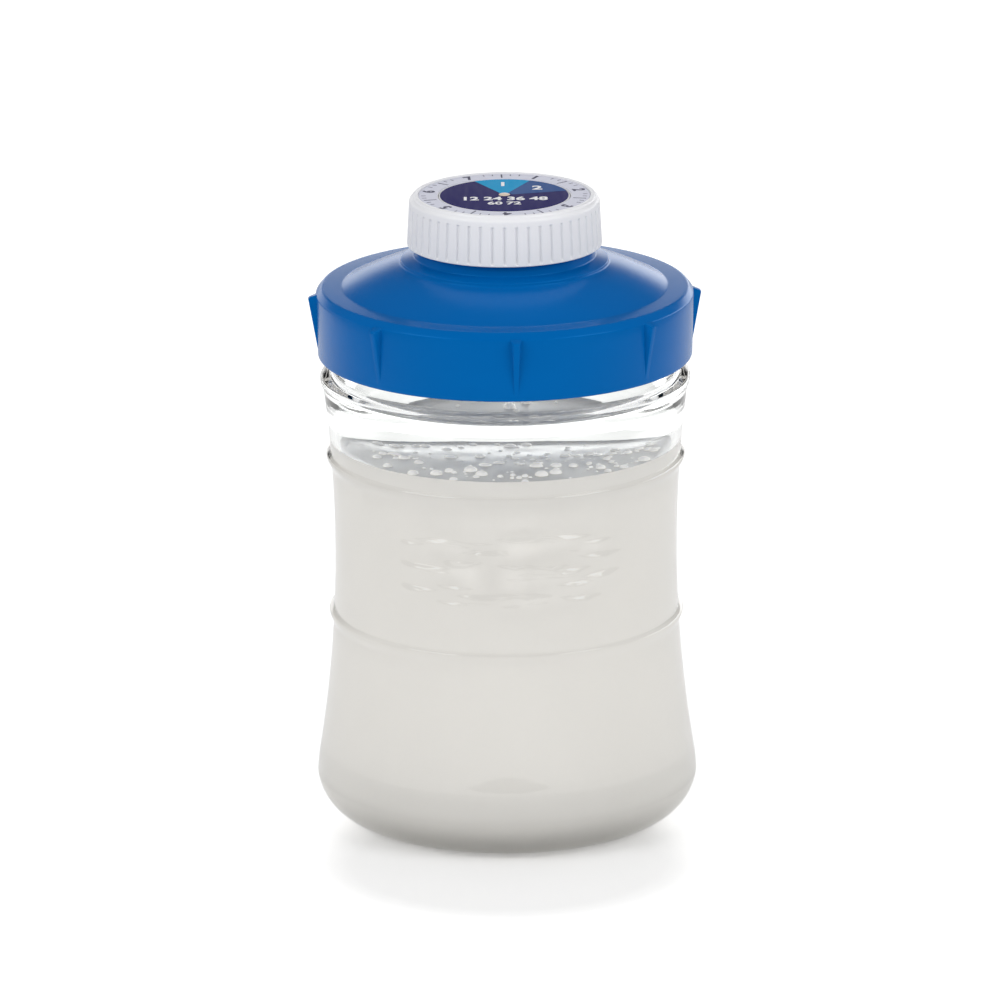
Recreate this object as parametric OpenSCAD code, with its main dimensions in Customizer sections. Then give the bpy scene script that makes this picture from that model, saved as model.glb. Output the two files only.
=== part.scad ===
// Fermentation jar. A waisted glass jar is closed by a wide screw lid with a strainer,
// and the lid's pouring neck by a small screw cap that carries a reminder dial.
// Backing the cap off a little lets the gas out, so the cap does the work of an airlock.
// The origin is the centre of the foot, on the table, with +Z up and the front at -Y.

/* [Glass body] */
// Outer radius at the waist
waist_r = 46.2; // [43:0.1:50]
// Height of the waist above the table
waist_z = 75; // [65:1:85]
// Radius of the long bow of the wall
bow_r = 360; // [300:5:500]
// Height from the table to the shoulder
body_h = 122.5; // [116:0.5:140]
// Wall of the glass
glass_t = 3; // [2.5:0.1:3.4]
// Thickness of the glass floor above the table
floor_t = 5; // [4.5:0.5:8]
// Height of the rounded heel
heel_h = 12.8; // [8:0.2:15]
// How far the heel draws in to the foot
heel_w = 12; // [8:0.2:14]
// Width of the flat foot ring
foot_w = 3.6; // [2:0.2:6]
// Height of the push-up under the floor
punt_h = 2; // [1:0.2:2.6]

/* [Rings and bubbles on the glass] */
// Height of the lower ring's upper edge
low_ring_z = 57.6; // [48:0.2:62]
// Height of the upper ring's upper edge
high_ring_z = 101; // [94:0.2:106]
// How far each ring stands out
ring_out = 1.2; // [0.6:0.1:2]
// Height of each ring's sloping underside
ring_slope_h = 4.6; // [3:0.2:7]
// How far the shoulder's edge stands out
shoulder_out = 0.4; // [0:0.1:0.8]
// Width of the stroke that draws the bubbles
stroke_w = 1.6; // [1:0.1:2]
// How far the bubbles stand out of the glass
bubble_out = 0.8; // [0.4:0.1:1.2]
// Height of the middle of the bubbles
bubbles_z = 79; // [74:1:82]

/* [Glass neck] */
// Outer radius of the glass neck
neck_r = 46.2; // [44.5:0.1:47]
// Height from the shoulder to the rim
neck_h = 20; // [19:0.1:24]
// Number of screw lugs round the neck
lugs = 4; // [3:1:5]
// Rise of the screw in one turn
lid_lead = 16; // [14:0.5:16]
// How far a lug stands out of its wall
lug_out = 1.5; // [1.2:0.1:1.8]
// Height of a lug at its root
lug_h = 1.5; // [1.2:0.1:1.6]
// Angle that one lug on the glass covers
glass_lug_arc = 66; // [50:1:70]
// Angle that one lug in the lid covers
lid_lug_arc = 42; // [30:1:48]

/* [Milk] */
// Height of the milk above the table
milk_z = 104; // [60:1:110]

/* [Lid] */
// Height of the lid's skirt
skirt_h = 16.2; // [15:0.1:18]
// Wall of the skirt at its lower edge
skirt_t = 2.15; // [1.5:0.05:2.4]
// How much wider the skirt is at the top
skirt_draft = 0.4; // [0:0.05:1.2]
// Thickness of the roof over the gasket
roof_t = 2.2; // [2:0.1:3]
// How far the roof climbs from its edge to the collar
roof_rise = 6.9; // [4:0.1:8]
// Bevel of the roof's edge
roof_edge = 1.5; // [0.8:0.1:2]
// Width of the flatter band round the edge of the roof
roof_band = 5.5; // [3:0.1:7]
// How far the dome swells above a straight line
dome_swell = 0.5; // [0:0.1:1]
// Number of grip fins
fins = 8; // [6:1:12]
// Turn of the fins from the front when the lid is tight
fin_turn = 3.3; // [0:0.1:20]
// Thickness of a fin at the top
fin_t = 2.8; // [1.8:0.1:3.2]
// Thickness of a fin at its foot
fin_foot_t = 1.4; // [0.8:0.1:1.8]
// How far a fin stands out at the top
fin_out = 2.1; // [1.5:0.1:3.5]

/* [Pouring neck] */
// Outer radius of the pouring neck
spout_r = 22.4; // [21.6:0.1:23]
// Wall of the pouring neck
spout_t = 2.2; // [1.8:0.1:2.4]
// Height of the pouring neck above its base ring
spout_h = 9.5; // [9.1:0.1:11]
// Rise of the cap's screw in one turn
cap_lead = 8; // [7.8:0.1:9]
// How far the cap's thread stands out of its wall
thread_out = 1.2; // [1:0.1:1.3]
// Height of the cap's thread at its root
thread_h = 1.3; // [1:0.1:1.5]

/* [Strainer] */
// Height of the strainer's dome
dome_h = 7; // [5:0.5:8]
// Number of slots
slots = 24; // [12:2:28]
// Width of a slot
slot_w = 1.3; // [0.8:0.1:1.5]
// Wall of the strainer
strainer_t = 1.4; // [1:0.1:1.8]

/* [Cap] */
// Wall of the cap at its upper edge
cap_t = 1.4; // [1.2:0.1:2]
// How much wider the cap is at its lower edge
cap_draft = 0.6; // [0.3:0.1:1]
// Thickness of the deck under the dial
deck_t = 2; // [1.2:0.1:2.4]
// Number of grip grooves
grooves = 50; // [30:1:60]
// Radius of a groove, which is also its depth
groove_d = 0.45; // [0.2:0.05:0.5]
// Width of the cap's rim round the dial
rim_w = 1.5; // [1:0.1:1.6]
// Height of the cap's rim above the floor of the day ring
rim_h = 0.5; // [0.4:0.1:1]
// Height of the cap's rounded shoulder
shoulder_h = 2.4; // [1.6:0.1:3.2]

/* [Seals] */
// Thickness of the lid's gasket
gasket_t = 1.6; // [1:0.1:2.5]
// Thickness of the cap's liner
liner_t = 1; // [0.8:0.1:1.6]

/* [Dial] */
// Width from the turning disc's edge to the cap's rim
ring_band_w = 5.6; // [5:0.1:8]
// Thickness of the turning disc
dial_t = 0.9; // [0.7:0.1:1.4]
// Thickness of a printed label
label_t = 0.2; // [0.1:0.05:0.3]
// Radius of the rivet's shank
rivet_r = 1.1; // [0.8:0.1:1.5]
// Days on the ring
days = 7; // [5:1:10]
// Turn of the printed face from the back when the cap is tight
face_turn = 2; // [0:0.5:50]

/* [Hidden] */
$fn = 96;

// Clearances between pieces
turn_gap = 0.4;      // lugs and threads to the wall they run past
screw_gap = 0.4;     // along the axis, between two engaged lugs
seal_gap = 0.25;     // seals to the walls beside them
run_gap = 0.05;      // under and round the turning disc's shank
snug_gap = 0.1;      // strainer to its seat, milk to the glass
embed = 0.4;         // how deep a lug is rooted in its wall

// Levels, from the table up
shoulder_z = body_h;
rim_z = shoulder_z + neck_h;
seat_z = rim_z + gasket_t;
roof_z = seat_z + roof_t;
skirt_z = seat_z - skirt_h + 0.1;
collar_z = roof_z + roof_rise;
spout_z = collar_z + 4.7;
mouth_z = spout_z + spout_h;
deck_z = mouth_z + liner_t;
pocket_z = deck_z + deck_t;
tray_z = pocket_z + dial_t;
cap_top_z = tray_z + rim_h;
cap_z = spout_z + 0.3;

// Radii
function wall_r(z) = waist_r + bow_r - sqrt(pow(bow_r, 2) - pow(z - waist_z, 2));
function inner_r(z) =
    waist_r + bow_r - sqrt(pow(bow_r + glass_t, 2) - pow(z - waist_z, 2));
foot_r = wall_r(heel_h) - heel_w;
mouth_r = neck_r - glass_t;
skirt_in = neck_r + lug_out + turn_gap;
skirt_out = skirt_in + skirt_t + skirt_draft;
roof_r = skirt_out - roof_edge;
plug_r = mouth_r - 1.4;
collar_r = spout_r + 5.4;
base_ring_r = spout_r + 1.7;
bore_r = spout_r - spout_t;
seat_r = bore_r + 1.8;
cap_in = spout_r + thread_out + turn_gap + 0.1;
cap_out = cap_in + cap_t;
shoulder_w = 0.9;
tray_r = cap_out - shoulder_w - rim_w;
dial_r = tray_r - ring_band_w;

// An arc of a circle or ellipse, from one angle to another
function arc(cx, cz, rx, rz, from, to, steps) = [
    for (i = [0 : steps])
        let (a = from + (to - from) * i / steps)
            [cx + rx * cos(a), cz + rz * sin(a)]
];

// The outer wall of the glass between two heights, and the inner wall
function wall(z0, z1, steps) = [
    for (i = [0 : steps]) let (z = z0 + (z1 - z0) * i / steps) [wall_r(z), z]
];
function inner_wall(z0, z1, steps, gap = 0) = [
    for (i = [0 : steps])
        let (z = z0 + (z1 - z0) * i / steps) [inner_r(z) - gap, z]
];

// A ring on the glass: it slopes out from below and ends in a crisp upper edge
function ring(z) = [
    [wall_r(z - ring_slope_h), z - ring_slope_h],
    [wall_r(z) + 0.8 * ring_out, z - 1.2],
    [wall_r(z) + ring_out, z - 0.5],
    [wall_r(z) + 0.75 * ring_out, z],
    [wall_r(z + 0.3), z + 0.3]
];

// The inside of the glass up to a height on its wall
inner_heel_h = heel_h - 2.6;
inner_heel_w = heel_w - 1;
function inside_profile(z, gap) = concat(
    [[0, floor_t + gap]],
    arc(inner_r(floor_t + inner_heel_h) - inner_heel_w, floor_t + inner_heel_h,
        inner_heel_w - gap, inner_heel_h - gap, -90, -12, 6),
    inner_wall(floor_t + inner_heel_h, z, 16, gap)
);

// A screw lug: an arc of trapezoid section, tilted to climb the screw. root is the wall's
// radius, and out is positive on a shaft and negative inside a skirt.
module lug(root, out, height, start, sweep, lead, z) {
    lean = atan(lead / (2 * PI * root));
    base = root - sign(out) * embed;
    rotate([0, 0, start + sweep / 2])
        translate([0, 0, z + lead * sweep / 720])
            rotate([lean, 0, 0])
                rotate([0, 0, -sweep / 2])
                    rotate_extrude(angle = sweep)
                        polygon([
                            [base, -height / 2], [root + out, -height * 0.3],
                            [root + out, height * 0.3], [base, height / 2]
                        ]);
}

// Lugs of the glass neck, and those of the lid one step below them on the same helix
glass_lug_z = rim_z - 9.6;
lid_lug_in = 10;
module glass_lugs() {
    for (i = [0 : lugs - 1])
        lug(neck_r, lug_out, lug_h, i * 360 / lugs, glass_lug_arc, lid_lead, glass_lug_z);
}
module lid_lugs() {
    for (i = [0 : lugs - 1])
        lug(skirt_in, -lug_out, lug_h, i * 360 / lugs + lid_lug_in, lid_lug_arc, lid_lead,
            glass_lug_z + lid_lead * lid_lug_in / 360 - lug_h - screw_gap);
}

// Threads of the pouring neck and of the cap, in two starts. They are broken into
// segments, and the breaks are the paths by which gas leaves a loosened cap.
starts = 2;
segments = 3;
segment_arc = 78;
segment_step = 90;
spout_thread_z = spout_z + 2.3;
cap_segments = 2;
cap_thread_in = 60;
module spout_threads() {
    for (s = [0 : starts - 1], k = [0 : segments - 1])
        lug(spout_r, thread_out, thread_h, s * 360 / starts + k * segment_step,
            segment_arc, cap_lead, spout_thread_z + cap_lead * k * segment_step / 360);
}
module cap_threads() {
    for (s = [0 : starts - 1], k = [0 : cap_segments - 1])
        let (turned = cap_thread_in + k * segment_step)
            lug(cap_in, -thread_out, thread_h, s * 360 / starts + turned, segment_arc,
                cap_lead, spout_thread_z + cap_lead * turned / 360 - thread_h - screw_gap);
}

// Bubbles raised on the front of the glass: [along the wall, up, radius]
bubbles = [
    [-25, -2.5, 3.6], [-17.5, 4, 4.6], [-13.5, -6.5, 2.2], [-4.5, -0.5, 6.6],
    [4, 8, 2], [8.5, -4.5, 4], [15.5, 4.5, 5.2], [20, -6, 2.6], [26, 0.5, 3.2]
];
// Beads between the bubbles: [along the wall, up]
beads = [[-27, 6.5], [-8.5, 8.5], [1.5, -9], [13.5, -9.5], [24.5, 7]];

module through_front(along, up) {
    rotate([0, 0, along / waist_r * 180 / PI])
        translate([0, -waist_r, bubbles_z + up])
            rotate([90, 0, 0])
                translate([0, 0, -3])
                    children();
}
// The bubbles are outlines cut from a skin that lies over the wall
module bubble_relief() {
    low = bubbles_z - 14;
    high = bubbles_z + 14;
    intersection() {
        rotate_extrude()
            polygon(concat(
                [[waist_r - 1, low]],
                [for (i = [0 : 6])
                    let (z = low + (high - low) * i / 6) [wall_r(z) + bubble_out, z]],
                [[waist_r - 1, high]]
            ));
        union() {
            for (b = bubbles)
                through_front(b[0], b[1])
                    difference() {
                        cylinder(r = b[2] + stroke_w / 2, h = 6);
                        translate([0, 0, -1]) cylinder(r = b[2] - stroke_w / 2, h = 8);
                    }
            for (b = beads)
                through_front(b[0], b[1])
                    cylinder(r = 0.8 * stroke_w, h = 6);
        }
    }
}

module glass_shell() {
    inside_z = shoulder_z - 5.6;
    edge_r = wall_r(shoulder_z) + shoulder_out;
    rotate_extrude()
        polygon(concat(
            [[0, punt_h], [0.6 * (foot_r - foot_w), 0.85 * punt_h], [foot_r - foot_w, 0]],
            arc(foot_r, heel_h, heel_w, heel_h, -90, -8, 8),
            wall(heel_h, low_ring_z - ring_slope_h - 1, 8),
            ring(low_ring_z),
            wall(low_ring_z + 2, high_ring_z - ring_slope_h - 1, 8),
            ring(high_ring_z),
            wall(high_ring_z + 2, shoulder_z - 3, 5),
            [[edge_r - 0.1, shoulder_z - 1.4], [edge_r, shoulder_z - 0.8]],
            [[edge_r - 0.3, shoulder_z - 0.2], [edge_r - 0.9, shoulder_z]],
            [[neck_r + 0.8, shoulder_z + 0.5], [neck_r, shoulder_z + 1.4]],
            arc(neck_r - 0.9, rim_z - 0.9, 0.9, 0.9, 0, 90, 3),
            arc(mouth_r + 0.9, rim_z - 0.9, 0.9, 0.9, 90, 180, 3),
            [[mouth_r, shoulder_z + 2], [mouth_r + 0.6, shoulder_z - 1]],
            let (p = inside_profile(inside_z, 0)) [for (i = [len(p) - 1 : -1 : 0]) p[i]]
        ));
}

module jar_glass() {
    color([0.86, 0.92, 0.9, 0.45]) {
        glass_shell();
        glass_lugs();
        bubble_relief();
    }
}

module milk() {
    color([0.93, 0.92, 0.88])
        rotate_extrude()
            polygon(concat(inside_profile(milk_z, snug_gap), [[0, milk_z]]));
}

// The flat silicone ring between the glass rim and the lid's seat
module lid_gasket() {
    color([0.93, 0.94, 0.95])
        rotate_extrude()
            translate([plug_r + seal_gap, rim_z])
                square([skirt_in - plug_r - 2 * seal_gap, gasket_t]);
}

// The section of the lid, from the skirt's lower edge over the roof to the neck's mouth
// and back down the inside
band_z = roof_z + 0.6;
function dome_point(share) = [
    roof_r - roof_band + (collar_r - roof_r + roof_band) * share,
    band_z + (collar_z - band_z) * share + 4 * dome_swell * share * (1 - share)
];
module lid_section() {
    under = roof_t - 0.3;
    polygon(concat(
        [[skirt_in, skirt_z], [skirt_in + skirt_t - 0.4, skirt_z]],
        [[skirt_in + skirt_t, skirt_z + 0.5]],
        [[skirt_out, roof_z - roof_edge], [skirt_out - 0.15, roof_z - roof_edge + 0.35]],
        [[roof_r, roof_z]],
        [for (i = [0 : 6]) dome_point(i / 6)],
        [[collar_r - 0.1, collar_z + 0.4], [collar_r - 0.4, collar_z + 0.8]],
        [[base_ring_r + 0.5, collar_z + 2], [base_ring_r, collar_z + 2.4]],
        [[base_ring_r, spout_z - 0.5], [base_ring_r - 0.5, spout_z]],
        [[spout_r, spout_z], [spout_r, mouth_z - 0.6], [spout_r - 0.6, mouth_z]],
        [[bore_r + 0.4, mouth_z], [bore_r, mouth_z - 0.4]],
        [[bore_r, collar_z], [seat_r, collar_z]],
        [[seat_r, collar_z - 3], [seat_r + 0.5, collar_z - 3.3]],
        [[seat_r + 0.5, collar_z - 4.2], [seat_r, collar_z - 4.5]],
        [[seat_r, collar_z - 5.6], [seat_r + 2, collar_z - 5.6]],
        [[seat_r + 2, collar_z - under + 0.6], [collar_r, collar_z - under]],
        [[plug_r - 2, band_z - under + 0.5], [plug_r - 2, rim_z - 1.8]],
        [[plug_r - 0.4, rim_z - 1.8], [plug_r, rim_z - 1.4]],
        [[plug_r, seat_z], [skirt_in, seat_z]]
    ));
}

// One grip fin: a gusset that stands out at the top, and below narrows and runs out
module fin() {
    top = roof_z - roof_edge;
    foot = skirt_z + 1.2;
    intersection() {
        rotate([90, 0, 0])
            translate([0, 0, -fin_t])
                linear_extrude(height = 2 * fin_t)
                    polygon([
                        [skirt_out - 1.4, top - 0.1],
                        [skirt_out - 1.4, foot],
                        [skirt_out - skirt_draft - 0.1, foot],
                        [skirt_out + fin_out, top - 1.1],
                        [skirt_out + fin_out - 0.3, top - 0.7],
                        [skirt_out, top - 0.1]
                    ]);
        translate([skirt_out - 2, 0, 0])
            rotate([90, 0, 90])
                linear_extrude(height = fin_out + 4)
                    polygon([
                        [-fin_foot_t / 2, foot - 1], [fin_foot_t / 2, foot - 1],
                        [fin_t / 2, top], [-fin_t / 2, top]
                    ]);
    }
}

module lid_shell() {
    color([0.02, 0.36, 0.7]) {
        rotate_extrude() lid_section();
        for (i = [0 : fins - 1])
            rotate([0, 0, fin_turn - 90 + i * 360 / fins]) fin();
        lid_lugs();
        spout_threads();
    }
}

// The slotted dome that clips up into the lid below the pouring neck
module strainer() {
    rim_r = seat_r - snug_gap;
    dome_r = bore_r - 0.5;
    foot = collar_z - 2.4;
    color([0.04, 0.4, 0.74])
        difference() {
            rotate_extrude()
                polygon(concat(
                    [[rim_r, collar_z - 0.02], [rim_r, collar_z - 3.1]],
                    [[rim_r + 0.4, collar_z - 3.4], [rim_r + 0.4, collar_z - 4.1]],
                    [[rim_r, collar_z - 4.4], [rim_r, collar_z - 5.4]],
                    [[rim_r - strainer_t, collar_z - 5.4]],
                    [for (i = [0 : 6])
                        [(dome_r - strainer_t) * cos(90 * i / 6),
                         foot - strainer_t * 0.6 + (dome_h - strainer_t * 0.4) * sin(90 * i / 6)]],
                    [for (i = [6 : -1 : 0])
                        [dome_r * cos(90 * i / 6), foot + dome_h * sin(90 * i / 6)]],
                    [[dome_r, collar_z - 0.02]]
                ));
            for (i = [0 : slots - 1])
                rotate([0, 0, i * 360 / slots])
                    translate([i % 2 == 0 ? 5 : 9, -slot_w / 2, foot])
                        cube([dome_r - strainer_t - (i % 2 == 0 ? 5 : 9), slot_w, dome_h + 2]);
        }
}

// The ring that seals the cap on the pouring neck
module cap_liner() {
    color([0.9, 0.9, 0.88])
        rotate_extrude()
            translate([bore_r - 2.4, mouth_z])
                square([cap_in - seal_gap - bore_r + 2.4, liner_t]);
}

lip_h = 0.5;
module cap_section() {
    polygon(concat(
        [[cap_in + 0.3, cap_z], [cap_out + cap_draft, cap_z]],
        [[cap_out + cap_draft, cap_z + lip_h], [cap_out, cap_top_z - shoulder_h]],
        arc(cap_out - shoulder_w, cap_top_z - shoulder_h, shoulder_w, shoulder_h, 20, 90, 4),
        [[tray_r + 0.3, cap_top_z], [tray_r, cap_top_z - 0.2]],
        [[tray_r, tray_z], [dial_r + seal_gap, tray_z]],
        [[dial_r + seal_gap, pocket_z], [rivet_r, pocket_z]],
        [[rivet_r, deck_z], [cap_in, deck_z]],
        [[cap_in, cap_z + 0.3]]
    ));
}

module cap_shell() {
    groove_h = cap_top_z - shoulder_h - 0.4 - cap_z - lip_h;
    lean = atan(cap_draft / (groove_h + 0.4));
    color([0.95, 0.95, 0.96]) {
        difference() {
            rotate_extrude() cap_section();
            for (i = [0 : grooves - 1])
                rotate([0, 0, (i + 0.5) * 360 / grooves])
                    translate([cap_out + cap_draft, 0, cap_z + lip_h])
                        rotate([0, -lean, 0])
                            cylinder(r = groove_d, h = groove_h);
        }
        cap_threads();
    }
}

// The printed ring of days: a mark between one day and the next
module day_ring() {
    inner = dial_r + 0.5;
    color([0.84, 0.85, 0.89])
        translate([0, 0, tray_z])
            difference() {
                cylinder(r = tray_r - 0.2, h = label_t);
                translate([0, 0, -1]) cylinder(r = inner, h = label_t + 2);
                for (i = [0 : days - 1])
                    rotate([0, 0, 90 + face_turn + i * 360 / days])
                        translate([inner + 1.2, -0.25, label_t / 2])
                            cube([tray_r - inner - 2.4, 0.5, label_t]);
            }
}

module dial_disc() {
    color([0.9, 0.9, 0.93])
        translate([0, 0, pocket_z + run_gap])
            difference() {
                cylinder(r = dial_r, h = dial_t - run_gap);
                translate([0, 0, -1]) cylinder(r = rivet_r + run_gap, h = dial_t + 2);
            }
}

// The printed face of the dial. Three scored lines bound its two sectors, one a batch.
module dial_label() {
    step = 360 / days;
    face_r = dial_r - 0.3;
    score_w = 0.3;
    color([0.09, 0.07, 0.36])
        translate([0, 0, tray_z])
            difference() {
                cylinder(r = face_r, h = label_t);
                translate([0, 0, -1]) cylinder(r = rivet_r + run_gap, h = label_t + 2);
                for (edge = [-1.5, -0.5, 0.5])
                    rotate([0, 0, 90 + face_turn + edge * step])
                        translate([2 * rivet_r, -score_w / 2, label_t / 2])
                            cube([face_r - 2 * rivet_r - 1, score_w, label_t]);
            }
}

// The rivet that holds the dial on the cap
module dial_rivet() {
    head = 0.4;
    color([0.75, 0.72, 0.7])
        rotate_extrude()
            polygon(concat(
                [[0, deck_z - 0.7], [rivet_r + 0.5, deck_z - 0.7]],
                [[rivet_r + 0.9, deck_z - 0.3], [rivet_r + 0.9, deck_z]],
                [[rivet_r - 0.02, deck_z], [rivet_r - 0.02, tray_z + label_t + run_gap]],
                arc(0, tray_z + label_t + run_gap, rivet_r + 0.4, head, 0, 90, 4)
            ));
}

jar_glass();
milk();
lid_gasket();
lid_shell();
strainer();
cap_liner();
cap_shell();
day_ring();
dial_disc();
dial_label();
dial_rivet();
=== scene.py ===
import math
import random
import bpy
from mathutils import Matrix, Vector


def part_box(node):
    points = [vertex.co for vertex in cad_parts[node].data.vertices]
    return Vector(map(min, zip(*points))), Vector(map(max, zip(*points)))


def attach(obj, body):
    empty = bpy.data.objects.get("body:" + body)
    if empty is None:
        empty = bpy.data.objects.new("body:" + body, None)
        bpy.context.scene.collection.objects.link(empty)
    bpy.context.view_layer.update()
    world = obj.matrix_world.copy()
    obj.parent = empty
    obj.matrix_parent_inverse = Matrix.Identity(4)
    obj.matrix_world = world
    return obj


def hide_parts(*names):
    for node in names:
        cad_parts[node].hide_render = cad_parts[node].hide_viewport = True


bl_info = {
    "name": "Fermentation Jar",
    "version": (1, 0, 0),
    "blender": (4, 5, 0),
    "location": "View3D > Sidebar > Jar",
    "description": "Glass jar of milk with a finned screw lid, a strainer and a cap with a dial",
    "category": "Add Mesh",
}

import bpy
from bpy.props import FloatProperty, FloatVectorProperty, IntProperty, PointerProperty
from bpy.types import Operator, Panel, PropertyGroup
from mathutils import Matrix, Vector

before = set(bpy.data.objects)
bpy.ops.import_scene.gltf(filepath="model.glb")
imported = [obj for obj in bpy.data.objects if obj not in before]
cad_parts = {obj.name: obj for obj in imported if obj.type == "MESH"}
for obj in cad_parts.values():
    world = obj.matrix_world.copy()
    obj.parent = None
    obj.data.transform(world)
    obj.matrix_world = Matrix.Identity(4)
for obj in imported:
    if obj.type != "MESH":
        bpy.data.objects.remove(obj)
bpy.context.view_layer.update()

MM = 0.001
WELD = 0.001 * MM
ROUND = 2 * math.pi

# The screws, as in the solids: the gap between two that are engaged, and the degrees
# that one lug on the glass, one in the lid and one stretch of the cap's thread cover
SCREW_GAP = 0.4 * MM
GLASS_LUG_ARC = 66
LID_LUG_ARC = 42
THREAD_ARC = 78


def length(name, description, millimetres):
    return FloatProperty(
        name=name,
        description=description,
        default=millimetres * MM,
        unit="LENGTH",
        precision=5,
    )


def turn(name, description, degrees):
    return FloatProperty(
        name=name,
        description=description,
        default=math.radians(degrees),
        subtype="ANGLE",
    )


def count(name, description, default):
    return IntProperty(name=name, description=description, default=default, min=1)


def colour(name, description, default):
    return FloatVectorProperty(
        name=name, description=description, default=default, subtype="COLOR", size=3
    )


def level(name, description, default):
    return FloatProperty(name=name, description=description, default=default, min=0)


class GlassSizes(PropertyGroup):
    waist_r: length("Waist", "Outer radius at the waist", 46.2)
    waist_z: length("Waist height", "Height of the waist above the table", 75)
    bow_r: length("Bow", "Radius of the long bow of the wall", 360)
    shoulder_z: length("Shoulder height", "Height of the shoulder", 122.5)
    shoulder_out: length("Shoulder edge", "How far the shoulder's edge stands out", 0.4)
    wall: length("Wall", "Thickness of the wall", 3)
    floor_z: length("Floor", "Thickness of the floor above the table", 5)
    heel_h: length("Heel height", "Height of the rounded heel", 12.8)
    heel_w: length("Heel width", "How far the heel draws in to the foot", 12)
    foot_w: length("Foot", "Width of the flat foot ring", 3.6)
    punt_h: length("Push-up", "Height of the push-up under the floor", 2)
    low_ring_z: length("Lower ring", "Height of the lower ring's upper edge", 57.6)
    high_ring_z: length("Upper ring", "Height of the upper ring's upper edge", 101)
    ring_out: length("Ring", "How far each ring stands out", 1.2)
    ring_slope: length("Ring slope", "Height of each ring's sloping underside", 4.6)
    neck_r: length("Neck", "Outer radius of the screw neck", 46.2)
    rim_z: length("Rim height", "Height of the rim", 142.5)
    lug_out: length("Lug", "How far a screw lug stands out", 1.5)
    lug_h: length("Lug height", "Height of a lug at its root", 1.5)
    lug_z: length("Lug start", "Height of a lug's lower end", 132.9)
    lead: length("Lead", "Rise of the lid's screw in one turn", 16)
    lugs: count("Lugs", "Number of screw lugs", 4)
    stroke: length("Bubble stroke", "Half width of the raised bubble outlines", 0.95)
    bubble_out: length("Bubble height", "How far the bubbles stand out", 1.1)
    bubbles_z: length("Bubble place", "Height of the middle of the bubbles", 79)
    colour: colour("Glass", "Colour of the glass", (0.99, 1.0, 0.992))


class MilkSizes(PropertyGroup):
    level_z: length("Level", "Height of the milk above the table", 104)
    overlap: length("Overlap", "How far the milk reaches into the glass, to wet it", 0.15)
    meniscus: length("Meniscus", "How far the milk climbs the glass", 0.9)
    foam: count("Foam bubbles", "Number of bubbles that float on the milk", 150)
    colour: colour("Milk", "Colour of the milk", (0.938, 0.912, 0.876))


class LidSizes(PropertyGroup):
    seat_z: length("Seat", "Height of the face that presses the gasket", 144.1)
    roof_z: length("Roof", "Height of the roof's outer edge", 146.3)
    skirt_z: length("Skirt", "Height of the skirt's lower edge", 128)
    collar_z: length("Collar", "Height of the dome's inner edge", 153.2)
    spout_z: length("Spout base", "Height of the pouring neck's base", 157.9)
    mouth_z: length("Mouth", "Height of the pouring neck's mouth", 167.4)
    skirt_in: length("Skirt inside", "Inner radius of the skirt", 48.1)
    skirt_wall: length("Skirt wall", "Wall of the skirt at its lower edge", 2.15)
    draft: length("Draft", "How much wider the skirt is at the top", 0.4)
    edge: length("Edge", "Bevel of the roof's edge", 1.5)
    band: length("Band", "Width of the flatter band round the roof", 5.5)
    swell: length("Swell", "How far the dome swells above a straight line", 0.5)
    roof_wall: length("Roof wall", "Wall of the roof", 1.9)
    plug_r: length("Plug", "Radius of the plug inside the glass mouth", 41.8)
    fin_out: length("Fin", "How far a grip fin stands out at the top", 2.1)
    fin_wall: length("Fin wall", "Thickness of a fin at the top", 2.8)
    fin_foot: length("Fin foot", "Thickness of a fin at its foot", 0.9)
    fins: count("Fins", "Number of grip fins", 8)
    fin_turn: turn("Fin turn", "Turn of the fins from the front", 3.3)
    spout_r: length("Spout", "Outer radius of the pouring neck", 22.4)
    bore_r: length("Bore", "Inner radius of the pouring neck", 20.2)
    thread_out: length("Thread", "How far the cap's thread stands out", 1.2)
    thread_h: length("Thread height", "Height of the cap's thread at its root", 1.3)
    thread_z: length("Thread start", "Height of the thread's lower end", 160.2)
    lead: length("Cap lead", "Rise of the cap's screw in one turn", 8)
    slots: count("Slots", "Number of slots in the strainer", 24)
    slot_w: length("Slot", "Width of a slot in the strainer", 1.3)
    colour: colour("Lid", "Colour of the lid", (0.0, 0.115, 0.4))
    sheen: colour("Sheen", "Tint of what the blue plastic reflects face on", (0.05, 0.45, 1.0))
    strainer_colour: colour("Strainer", "Colour of the strainer", (0.004, 0.14, 0.44))
    seal_colour: colour("Seals", "Colour of the silicone seals", (0.83, 0.84, 0.84))


class CapSizes(PropertyGroup):
    low_z: length("Lower edge", "Height of the cap's lower edge", 158.2)
    top_z: length("Top", "Height of the rim round the dial", 171.8)
    deck_z: length("Deck", "Height of the underside that presses the liner", 168.4)
    pocket_z: length("Pocket", "Height of the floor under the dial", 170.4)
    tray_z: length("Tray", "Height of the floor under the day ring", 171.3)
    inner_r: length("Inside", "Inner radius of the cap", 24.1)
    outer_r: length("Outside", "Outer radius at the upper edge", 25.5)
    draft: length("Cap draft", "How much wider the cap is at its lower edge", 0.6)
    tray_r: length("Tray radius", "Radius of the tray that holds the day ring", 23.1)
    grooves: count("Grooves", "Number of grip grooves", 50)
    groove_half: length("Groove width", "Half the width of a grip groove", 0.36)
    groove_deep: length("Groove depth", "Depth of a grip groove", 0.55)
    shoulder_h: length("Shoulder height", "Height of the rounded shoulder", 2.4)
    shoulder_w: length("Shoulder width", "Width of the rounded shoulder", 1)
    colour: colour("Cap", "Colour of the cap", (0.82, 0.825, 0.855))


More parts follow.
